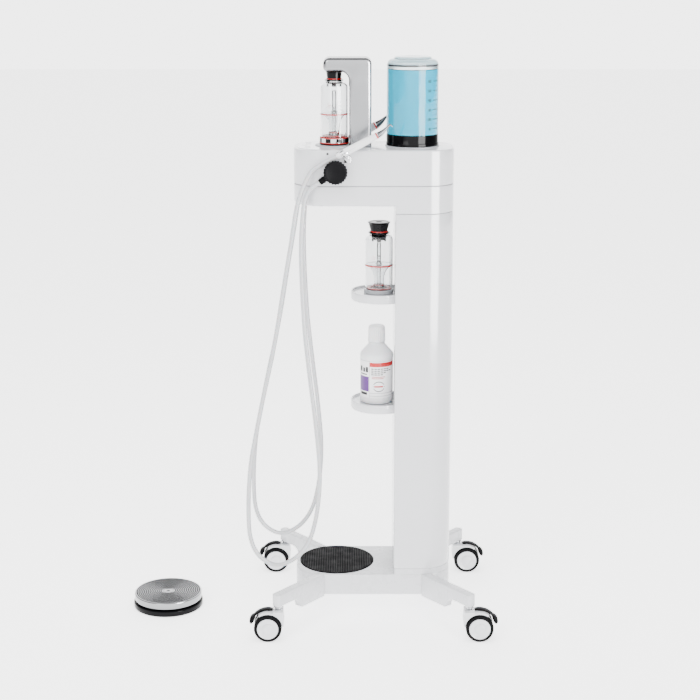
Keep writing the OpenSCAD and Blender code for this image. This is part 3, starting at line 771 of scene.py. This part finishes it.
def make_stopper(prefix, x, z, body, node, r_top, r_low, height, skirt):
    """A cone-shaped stopper that is widest at its top, on a ring and a skirt."""
    at = (x, 0, z)
    lathe(prefix + "_plug", [(0, skirt - 1), (r_low, skirt - 1), (r_low, skirt + 1.2),
            (r_top - 1.2, height - 2.6), (r_top, height - 1.6), (r_top, height - 0.6),
            (r_top - 1, height), (r_top - 3.5, height), (r_top - 4, height - 0.5), (6, height - 0.5),
            (5.6, height - 1.4), (0, height - 1.4)], at, body, "black_gloss", node, 96)
    closed_lathe(prefix + "_seal", bulged(r_low - 3, r_low + 0.9, 0.3, skirt - 1.6, skirt), at, body,
            "red", segs=96)
    closed_lathe(prefix + "_flange", bulged(r_low - 3, r_low + 3.4, 0.5, skirt - 4.2, skirt - 2.2), at,
            body, "black_gloss", segs=96)


def make_lugs(prefix, x, z0, z1, r, body):
    """Four lugs round the foot of a stopper."""
    half = 17
    lugs = [patch(r - 3, a - half, a + half, z0, z1, (x, 0), 3, 6) for a in (0, 90, 180, 270)]
    add_patches(prefix + "_lugs", lugs, body, "black_gloss")


def make_tower_chamber():
    x = CHAMBER_X
    make_jar("chamber", x, 889.2, "chamber", "chamber_glass", "chamber_funnel", 24.5, 98, 40)
    lathe("chamber_foot", [(0, 875.2), (25, 875.2), (26.3, 876.2), (26.5, 877.2), (0, 877.2)],
          (x, 0, 0), "chamber", "black_gloss", "chamber_collar", 128)
    closed_lathe("chamber_low_seal", bulged(20, 26.3, 0.4, 877.3, 879.1), (x, 0, 0), "chamber", "red",
            segs=128)
    closed_lathe("chamber_band", [(20, 879.2), (26, 879.2), (26, 886.6), (20, 886.6)], (x, 0, 0),
            "chamber", "chrome", segs=128)
    blocks = [patch(26, a, a + 22, 879.4, 886.4, (x, 0), 0.35, 6) for a in range(-170, 190, 45)]
    add_patches("chamber_band_blocks", blocks, "chamber", "black_gloss")
    closed_lathe("chamber_high_seal", bulged(20, 25.8, 0.4, 886.7, 888.5), (x, 0, 0), "chamber", "red",
            segs=128)
    make_stopper("chamber_stopper", x, 981, "chamber_lid", "chamber_cap", 15, 12.8, 24, 11.6)
    make_lugs("chamber_stopper", x, 978.6, 984, 13.2, "chamber_lid")


def make_spare_chamber():
    x, z0 = 10, 603
    closed_lathe("spare_foot", [(3, z0 + 0.2), (26, z0 + 0.2), (27, z0 + 1.2), (27, z0 + 6.6),
            (26, z0 + 7.6), (3, z0 + 7.6)], (x, 0, 0), "spare_chamber", "grey_plastic", segs=128)
    make_jar("spare", x, z0 + 7.8, "spare_chamber", "spare_glass", "spare_funnel", 25.5, 101, 44)
    make_stopper("spare_stopper", x, 704, "spare_lid", "spare_cap", 20.4, 15.6, 30, 13.5)
    closed_lathe("spare_skirt", [(9, 701.5), (12.4, 701.5), (13, 703), (14.2, 710.5), (14.2, 712.6),
            (9, 712.6)], (x, 0, 0), "spare_lid", "black_gloss", segs=96)
    make_lugs("spare_stopper", x, 698.5, 702, 13, "spare_lid")


make_tower_chamber()
make_spare_chamber()


# ---------------------------------------------------------------- flask

FLASK_X = 6.5


def make_flask():
    x, z0, r = FLASK_X, 398.1, 30.5
    at = (x, 0, z0)
    profile = [(0, 0.2), (r - 4, 0.2), (r - 1.2, 0.8), (r, 2.6), (r, 8), (r - 0.5, 9.5), (r - 0.5, 83),
            (r, 84.5), (r, 88)]
    profile += arc(r - 10, 88, 10, 0, 44, 7) + [(17.4, 106.4), (15.2, 109), (13.6, 111), (13.6, 116)]
    lathe("flask_shell", profile + [(0, 116)], at, "flask_body", "white_bottle", "flask", 128, sharp=45.0)
    closed_lathe("flask_neck_ring", bulged(12, 15.2, 0.3, 110.6, 112.2), at, "flask_body", "white_bottle",
            segs=96)
    face, c, z = r - 0.45, (x, 0), z0 + 12
    mark = face + 0.14

    def label(name, look, patches, radius=mark, thick=0.08):
        add_patches("flask_label" + name, [patch(radius, a0, a1, z + h0, z + h1, c, thick,
                max(2, int((a1 - a0) / 3))) for a0, a1, h0, h1 in patches], "flask_body", look)

    label("", "label", [(-88, 80, 0, 70)], face, 0.12)
    label("_red", "red", [(-26, 78, 59, 67)] + [(-18, 30 - 6 * i, h, h + 1.3)
            for i, h in enumerate((39.5, 36.6))])
    label("_purple", "purple", [(-80, -29, 12, 40)])
    label("_lines", "ink_grey", [(-84, 78, 68.6, 69.4), (-27.6, -26.4, 0, 70), (-26, 78, 9, 9.8),
            (-26, 78, 3.6, 4.4)])
    words = [(-20 + 11 * k, -11 + 11 * k, 54.4 - 3.6 * i, 56.2 - 3.6 * i)
            for i, n in enumerate((6, 7, 5, 4)) for k in range(n)]
    words += [(-76, -60, 48, 58), (-55, -45, 48, 56), (-42, -32, 48, 58), (-72, -36, 43, 45),
            (-70, -36, 5, 10)]
    label("_words", "ink", words)
    ring = []
    for k in range(19):
        rise = 9 * math.sin(math.acos(1 - k / 9))
        a = -14 + 2.2 * k
        ring += [(a, a + 2.6, 22 + rise - 0.7, 22 + rise + 0.7), (a, a + 2.6, 22 - rise - 0.7,
                22 - rise + 0.7)]
    label("_ring", "ink", ring)
    label("_ring_band", "red", [(-9, 22, 20.6, 23.4)])


def make_flask_cap():
    low, high = 512.1, 541.8
    rows = [(0.3, low, 0), (0, low + 1, 0), (0, low + 4, 1.1), (0.3, low + 20, 1.1), (0.8, high - 4, 1.1),
            (1.6, high - 1.8, 0), (3.2, high - 0.5, 0), (5.6, high, 0)]
    cap = placed(ribbed(rows, 15.9, 26, 6, 2), (FLASK_X, 0, 0))
    add_mesh("flask_screw_cap", *cap, "flask_lid", "white_bottle", "flask_cap", 50.0)


make_flask()
make_flask_cap()


# ---------------------------------------------------------------- handpieces and connectors

TILT = math.radians(28)
HP_AT = (-64, 863)
GRIP = {"front": (6.75, 5.35), "rear": (7.75, 7.2)}
GRIP_LOOK = {"front": "white_grip", "rear": "light_grip"}
KNOB_AT = (-68, 836)


def along(side, s, up=0.0):
    """Point on a handpiece's axis, s from its rear end and up above its axis."""
    return (HP_AT[0] + s * math.cos(TILT) - up * math.sin(TILT), SIDES[side] * HOSE_Y,
            HP_AT[1] + s * math.sin(TILT) + up * math.cos(TILT))


def make_handpiece(side):
    body = side + "_handpiece"
    back, front = GRIP[side]
    turn = Matrix.Rotation(math.pi / 2 - TILT, 3, "Y")
    at = along(side, 0)
    lathe(body + "_sleeve", [(0, -2), (4.6, -2), (5.2, -1.2), (5.9, 1.5), (6, 6.2), (0, 6.2)],
          at, body, GRIP_LOOK[side], segs=64, turn=turn)
    lathe(body + "_collar", [(0, 6.3), (back - 0.5, 6.3), (back - 0.1, 6.8), (back - 0.1, 8.6),
          (back - 0.8, 9), (back - 0.8, 9.8), (back - 0.1, 10.2), (back - 0.1, 12.6),
          (back - 0.4, 13), (0, 13)], at, body, "chrome", segs=64, turn=turn)
    slot_at = [(-6.4, 0.4), (-6.4, 5.4), (-5.6, 5.4), (-5.6, 0.4)]
    slot = loft([[(x, y, z) for x, z in slot_at] for y in (-1.2, 1.2)])
    add_mesh(body + "_slot", *placed(slot, at, turn), body, "black_gloss")
    grip = [(0, 13.2), (back - 0.3, 13.2), (back, 13.6), (back, 34), (back - 0.1, 44),
            (back * 0.55 + front * 0.45, 62), (front + 0.02, 76), (0, 76)]
    lathe(body + "_grip", grip, at, body, GRIP_LOOK[side], "handpiece_" + side, 64, turn)
    closed_lathe(body + "_red_ring", [(front - 2, 76.1), (front + 0.25, 76.1), (front + 0.4, 76.6),
            (front + 0.25, 78.4), (front - 2, 78.4)], at, body, "red", None, 64, turn)
    if side == "front":
        marks = [block((-0.35, 0.35), (-back - 0.05, -back + 0.2), (22 + 2.1 * i, 23.2 + 2.1 * i))
                for i in range(7)]
        add_mesh(body + "_marks", *placed(joined(marks), at, turn), body, "ink_grey")
    make_tip(side, body, front)


def make_tip(side, body, front):
    """Steel nose and nozzle: it leans up from the grip and hooks down at its end."""
    curve = ((79, 0), (80.2, 0), (84.7, 0.5), (91.6, 1.8), (98.3, 3.9), (103.8, 5.7), (105.9, 6.1),
            (107.1, 5.4), (107.7, 3.4), (108.4, 0.4))
    path = [along(side, s, up) for s, up in smooth_route(curve, 3)]
    radii = (front - 0.3, front - 0.35, front * 0.84, front * 0.62, front * 0.42, 1.7, 1.5, 1.25, 1.05,
            0.9)

    def radius(i):
        k, t = divmod(i / 3, 1)
        k = int(k)
        return radii[k] + (radii[min(k + 1, len(radii) - 1)] - radii[k]) * t

    add_mesh(body + "_nozzle", *tube_mesh(path, radius, 32), body, "tip_steel", "handpiece_%s_tip" % side,
            50.0)


def make_cradle(side):
    """Polished saddle that the handpiece lies in, with its arm and wall plate."""
    s = SIDES[side]
    grip = GRIP[side][0]
    inner, outer = grip + 0.35, grip + 2.2
    section = arc(0, 0, inner, 185, 355, 16) + arc(0, 0, outer, 355, 185, 16)
    loops = []
    for depth in (9, 9.6, 18.4, 19):
        trim = 0.4 if depth in (9, 19) else 0
        loop = []
        for x, z in section:
            k = 1 - trim / max(math.hypot(x, z), 1) if math.hypot(x, z) > inner + 1 else 1
            p = along(side, depth, z * k)
            loop.append((p[0], p[1] + x * k, p[2]))
        loops.append(loop)
    add_mesh("cradle_%s_saddle" % side, *loft(loops), "cart", "chrome", None, 40.0)
    wall = sorted((s * 72, s * 74.4))
    plate = soft_block("cradle_%s_plate" % side, (-53, -41), wall, (850, 861), "cart", "chrome", 0.7)
    arm = sorted((s * 73, s * 82))
    soft_block("cradle_%s_arm" % side, (-50, -44), arm, (858, 864), "cart", "chrome", 1.0)
    return plate


def make_connector(side):
    """Wall flange, black elbow and ribbed knob of one hose."""
    s = SIDES[side]
    turn = Matrix.Rotation(-s * math.pi / 2, 3, "X")
    x, z = KNOB_AT
    lathe("elbow_%s_flange" % side, [(0, 0), (15, 0), (15, 0.8), (13.6, 1.4), (8, 1.6), (7, 2.6), (7, 9),
            (0, 9)], (x, s * 72, z), "cart", "black_plastic", segs=64, turn=turn)
    down = math.radians(34)
    step = (-math.cos(down), -math.sin(down))
    joint = [(x + step[0] * d, s * HOSE_Y, z + step[1] * d) for d in (0, 6, 12, 22, 22.3, 24, 24.3, 27,
            27.3, 29, 29.3, 33.6)]
    radii = [5.6, 5.6, 5.6, 5.5, 5.2, 5.2, 6.1, 6.1, 5.4, 5.4, 6.1, 5.0]
    elbow = add_mesh("elbow_%s_arm" % side, *tube_mesh(joint, lambda i: radii[i], 40), "cart",
            "black_plastic", None, 40.0)
    lathe("elbow_%s_hub" % side, [(0, 0), (7.2, 0), (7.6, 0.6), (7.6, 7), (6, 7.2), (6, 20),
          (0, 20)], (x, s * 75, z), "cart", "black_plastic", segs=64, turn=turn)
    rows = [(1.2, 0), (0.2, 1.0), (0, 2), (0, 8.2), (0.5, 9.6), (1.6, 10.6), (2.6, 11), (5.4, 11),
            (6.0, 10.7)]
    knob = ribbed([(inset, h, 1.25 if inset < 2 else 0.3) for inset, h in rows], 21.3, 24, 8, 1.6)
    name = side + "_knob"
    at = (x, s * (HOSE_Y + 7.3), z)
    add_mesh(name + "_grip", *placed(knob, at, turn), name, "black_plastic", "knob_" + side, 40.0)
    return elbow


for side in SIDES:
    make_handpiece(side)
    saddle = make_cradle(side)
    elbow = make_connector(side)
    if side == "front":
        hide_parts("handpiece_cradles")
        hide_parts("hose_elbows")


# ---------------------------------------------------------------- casters

TRAIL, AXLE_Z = 18, 25
FACE_TURN = {-1: Matrix.Rotation(math.pi / 2, 3, "X"), 1: Matrix.Rotation(-math.pi / 2, 3, "X")}


def caster_point(sx, sy, p):
    """From the caster's own frame, trailing towards +X, to the cart's."""
    return (sx * STEM_X + sx * p[0], sy * STEM_Y + p[1], p[2])


def add_caster_mesh(name, made, sx, sy, body, look, node=None, sharp=35.0):
    verts, faces = made
    return add_mesh(name, [caster_point(sx, sy, v) for v in verts], faces, body, look, node, sharp)


# One disc and one tyre of a wheel, as (radius, height over its outer face) points
DISC = [(0, -0.3), (4, -0.35), (8.4, -0.6), (9.2, -1.2), (9.8, -2.2), (10.6, -2.3), (12, -1.8),
        (15.8, -1.2), (17.2, -0.7), (18.1, -0.2), (18.8, -0.5), (19, -1.2), (19, -15.4), (0, -15.4)]
TYRE = [(19.1, -1.6), (20.4, -0.9), (23.4, -1.0), (24.5, -2.2), (25, -4.2), (25, -12.4), (24.4, -14.6),
        (23, -15.8), (19.1, -15.8), (19.1, -1.6)]


def on_axle(profile, face):
    """Revolves a profile round the axle, with the outer face at y = face * 20."""
    return placed(turned(profile), (TRAIL, face * 20, AXLE_Z), FACE_TURN[face])


def hood_outline():
    outer = arc(TRAIL, AXLE_Z, 29.3, 56, 108, 10)
    side = [(8.9, 54.6), (8.4, 55.4), (-8.4, 55.4), (-9.4, 54.4), (-10.2, 46), (-10.8, 34), (-10.4, 29),
            (-8.4, 28)]
    return outer + side + arc(TRAIL, AXLE_Z, 26.4, 173, 56, 20)


def around_wheel(a0, a1, steps, section):
    """Sweeps a rounded section round the axle; section(t) gives inner and outer radius, half width."""
    loops = []
    for i in range(steps + 1):
        t = i / steps
        a = math.radians(a0 + (a1 - a0) * t)
        low, high, half = section(t)
        ring = []
        for k in range(20):
            b = 2 * math.pi * k / 20
            across = half * math.copysign(abs(math.cos(b)) ** 0.5, math.cos(b))
            r = (low + high) / 2 + (high - low) / 2 * math.copysign(abs(math.sin(b)) ** 0.7, math.sin(b))
            ring.append((TRAIL + r * math.cos(a), across, AXLE_Z + r * math.sin(a)))
        loops.append(ring)
    return loft(loops)


def brake_bar():
    """The curved bar over the hood."""
    def section(t):
        end = 0.6 + 0.4 * min(1, t * 8)
        return 31.5 - 1.9 * end, 31.5 + 2.0 * end, 6.5 * end
    return around_wheel(106, 16, 24, section)


def brake_tongue():
    """The rounded pad at the bar's lower end."""
    def section(t):
        swell = math.sin(math.pi * (0.04 + 0.92 * t)) ** 0.4
        return 31 - 4 * swell, 31 + 4.7 * swell, 4 + 5.5 * swell
    return around_wheel(40, 10, 20, section)


def make_caster(key, sx, sy):
    fork, wheels, brake = "caster_" + key, "wheels_" + key, "brake_" + key
    hood = beveled(*prism(hood_outline(), -15.5, 15.5), steep, 1.4, 3)
    add_caster_mesh(fork + "_hood", hood, sx, sy, fork, "white_wheel", fork + "_fork")
    web = beveled(*prism(arc(TRAIL, AXLE_Z, 24, -20, 200, 24), -3.4, 3.4), steep, 0.6, 2)
    add_caster_mesh(fork + "_web", web, sx, sy, fork, "white_wheel")
    stem = [(0, 55), (7.6, 55), (8, 55.8), (8, 57), (6.4, 57.6), (5.4, 58.4), (5.4, 60), (6.8, 60.6),
            (7.2, 61.4), (7.2, 63.2), (5, 63.4), (5, 82), (0, 82)]
    add_caster_mesh(fork + "_stem", turned(stem, 48), sx, sy, fork, "chrome")
    for face, tag in ((-1, "outer"), (1, "inner")):
        add_caster_mesh("%s_disc_%s" % (wheels, tag), on_axle(DISC, face), sx, sy, wheels, "white_wheel",
                "caster_%s_wheels" % key if face < 0 else None)
        add_caster_mesh("%s_tyre_%s" % (wheels, tag), on_axle(TYRE, face), sx, sy, wheels, "tyre",
                "caster_%s_tyres" % key if face < 0 else None)
    add_caster_mesh(brake + "_bar", brake_bar(), sx, sy, brake, "black_plastic", "caster_%s_brake" % key,
            50.0)
    add_caster_mesh(brake + "_tongue", brake_tongue(), sx, sy, brake, "black_plastic", None, 50.0)


for key, (sx, sy) in CASTERS.items():
    make_caster(key, sx, sy)


# ---------------------------------------------------------------- foot pedal

PEDAL_AT = (-387, -10, 0)


def make_pedal():
    r = 65
    lathe("pedal_foot", [(0, 0), (r - 3, 0), (r - 0.6, 1), (r, 2.6), (r, 8.4), (r - 0.4, 10),
          (r - 1.6, 11), (r - 4, 11.3), (55.5, 11.3), (55, 12), (55, 20), (0, 20)], PEDAL_AT,
          "pedal", "black_gloss", "pedal_base", 160)
    grooves = []
    count, first, pitch = 14, 12.0, 3.45
    for i in range(count * 8 + 1):
        at = first + pitch * i / 8
        grooves.append((at, 26.55 + 0.45 * math.cos(2 * math.pi * i / 8)))
    top = [(0, 26.9), (4, 26.8), (8, 26.3), (10, 25.9), (11, 26.2)] + grooves
    edge = [(61.4, 26.9), (62.6, 26.2), (63, 25.2), (63, 15.4), (62.4, 14.6), (56.2, 14.6), (55.9, 18),
            (55.9, 23.8), (0, 23.8)]
    lathe("pedal_grooved_plate", top + edge, PEDAL_AT, "pedal_press", "turned_steel",
          "pedal_plate", 160, sharp=60.0)
    # Black rings fill the plate's grooves nearly to the top: painted shade in the grooves
    for i in range(count):
        mid = first + pitch * (i + 0.5)
        closed_lathe("pedal_groove_%d" % i, [(mid - 0.8, 26.0), (mid + 0.8, 26.0), (mid + 0.8, 26.95),
                (mid - 0.8, 26.95)], PEDAL_AT, "pedal_press", "groove_black", segs=160)
    lathe("pedal_hub", [(0, 27.0), (3, 26.95), (4.6, 26.3), (9.5, 26.1), (9.5, 25), (0, 25)],
          PEDAL_AT, "pedal_press", "black_gloss", segs=96)


make_pedal()


# ---------------------------------------------------------------- supply panel

def make_supply_panel():
    add_mesh("supply_plate", *beveled(*block((40, 88), (72, 74), (108, 152)), steep, 0.8, 3), "cart",
            "black_plastic", "supply_inlets")
    for name, x, z in (("low", (43, 71), (116, 120)), ("high", (43, 71), (140, 144)),
            ("left", (43, 46), (120, 140)), ("right", (68, 71), (120, 140))):
        soft_block("supply_socket_" + name, x, (74, 88), z, "cart", "black_plastic", 0.4)
    for i, x in enumerate((51, 57, 63)):
        soft_block("supply_pin_%d" % i, (x - 1, x + 1), (74, 84), (128, 132), "cart", "brass", 0.3)
    turn = Matrix.Rotation(-math.pi / 2, 3, "X")
    for i, z in enumerate((120, 140)):
        closed_lathe("supply_nipple_%d" % i, [(2.5, 1), (5, 1), (5, 4), (3.8, 4.6), (4.8, 7), (3.8, 7.4),
                (4.8, 10), (3.8, 10.4), (4.4, 13), (3.6, 14), (2.5, 14)], (80, 73, z), "cart", "chrome",
                None, 48, turn)


make_supply_panel()


# ---------------------------------------------------------------- CAD nodes that stay

for name, obj in frame["nodes"].items():
    look = MATERIALS[NODE_SLOTS[name]]
    for material_slot in obj.material_slots:
        material_slot.material = look


# ---------------------------------------------------------------- floor and light

FLOOR_GLOW = 2.2
WORLD_STRENGTH = 4.4


def make_floor():
    mesh = bpy.data.meshes.new("floor")
    size = 14
    mesh.from_pydata([(-size, -size, 0), (size, -size, 0), (size, size, 0), (-size, size, 0)], [],
            [(0, 1, 2, 3)])
    mat, bsdf, mapping = shader("floor", (0.95, 0.95, 0.95), 0.7, 0.0, Specular_IOR_Level=0.0,
            Emission_Color=(1, 1, 1, 1), Emission_Strength=FLOOR_GLOW)
    vary_color(mat, bsdf, noise(mat, mapping, 2.0), (0.95, 0.95, 0.95), 0.004)
    mesh.materials.append(mat)
    floor = bpy.data.objects.new("floor", mesh)
    bpy.context.scene.collection.objects.link(floor)


def area_light(name, at, aim, size, power):
    data = bpy.data.lights.new(name, "AREA")
    data.shape = "RECTANGLE"
    data.size, data.size_y = size
    data.energy = power
    lamp = bpy.data.objects.new(name, data)
    bpy.context.scene.collection.objects.link(lamp)
    lamp.location = at
    lamp.rotation_mode = "QUATERNION"
    lamp.rotation_quaternion = (Vector(aim) - Vector(at)).to_track_quat("-Z", "Y")
    return lamp


def make_world():
    """White all round, with dark fields at either side and overhead that outline clear parts."""
    world = bpy.data.worlds.new("studio")
    world.use_nodes = True
    tree = world.node_tree
    coord = tree.nodes.new("ShaderNodeTexCoord")
    axes = tree.nodes.new("ShaderNodeSeparateXYZ")
    tree.links.new(coord.outputs["Generated"], axes.inputs["Vector"])
    side = tree.nodes.new("ShaderNodeMath")
    side.operation = "ABSOLUTE"
    tree.links.new(axes.outputs["X"], side.inputs[0])
    both = tree.nodes.new("ShaderNodeMath")
    both.operation = "MULTIPLY"
    fields = ((side.outputs[0], ((0.0, 1.0), (0.42, 1.0), (0.72, 0.16), (1.0, 0.04))),
            (axes.outputs["Z"], ((0.0, 1.0), (0.72, 1.0), (0.86, 0.12), (1.0, 0.08))))
    for i, (source, stops) in enumerate(fields):
        ramp = tree.nodes.new("ShaderNodeValToRGB")
        elements = ramp.color_ramp.elements
        while len(elements) < len(stops):
            elements.new(0.5)
        for element, (at, value) in zip(elements, stops):
            element.position = at
            element.color = (value, value, value, 1)
        tree.links.new(source, ramp.inputs["Fac"])
        tree.links.new(ramp.outputs["Color"], both.inputs[i])
    background = tree.nodes["Background"]
    tree.links.new(both.outputs[0], background.inputs["Color"])
    background.inputs["Strength"].default_value = WORLD_STRENGTH
    bpy.context.scene.world = world


def make_lights():
    area_light("key", (-1.4, -2.4, 2.4), (0.1, 0, 0.6), (1.4, 1.4), 40)
    strip = area_light("strip", (1.62, -1.63, 0.75), (0.2, 0, 0.7), (1.2, 2.5), 380)
    strip.visible_diffuse = False
    top = area_light("top", (0.1, -0.3, 3.0), (0.1, 0, 0), (2.0, 2.0), 75)
    top.visible_glossy = False


make_floor()
make_world()
make_lights()
bpy.context.view_layer.update()
